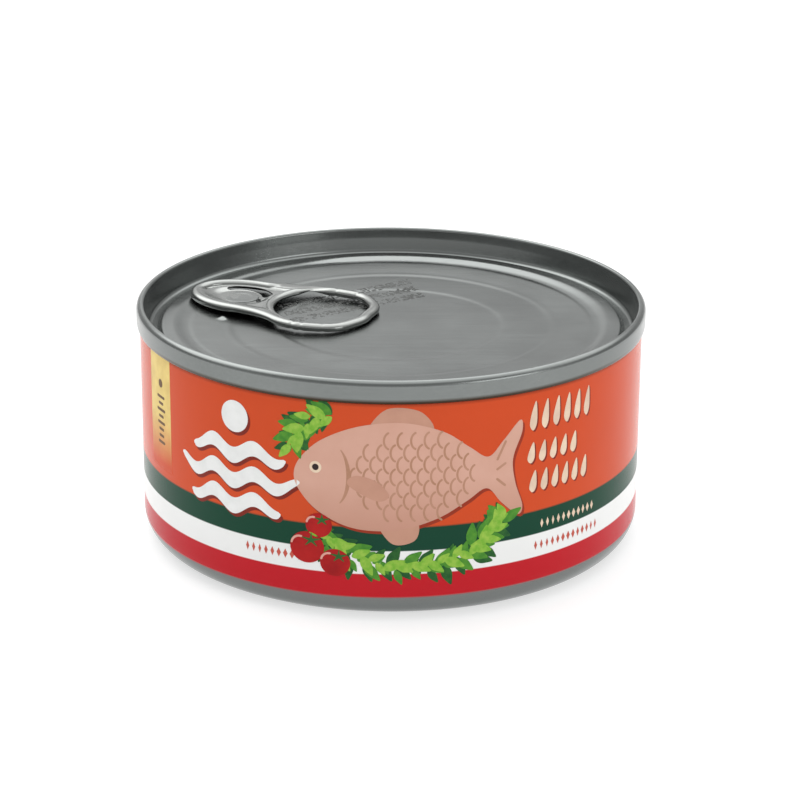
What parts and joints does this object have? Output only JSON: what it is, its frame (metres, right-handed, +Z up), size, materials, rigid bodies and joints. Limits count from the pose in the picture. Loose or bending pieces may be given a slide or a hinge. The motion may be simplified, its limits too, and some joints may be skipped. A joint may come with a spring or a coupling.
{
  "type": "tuna can",
  "caption": "Shut round steel tuna can with a printed drawn body, a rounded bottom corner, a seamed easy-open lid and a ring-pull tab.",
  "frame": {"origin": "centre of the foot ring, on the surface the can stands on", "axes": "+Z up along the can's axis; the front of the print faces -Y; the ring pull's nose points towards -X and a little back"},
  "size_m": [0.0874, 0.0874, 0.0413],
  "materials": {
    "printed_body": "glossy lithographed tinplate: orange field over green, white and red bands, bare steel at the bottom corner",
    "lid_tinplate": "satin tinplate with a fine rolling grain",
    "tab_tinplate": "smooth bright tinplate"
  },
  "bodies": {
    "root": {"can_body": "printed_body", "lid": "lid_tinplate", "pull_tab": "tab_tinplate"}
  },
  "joints": []
}
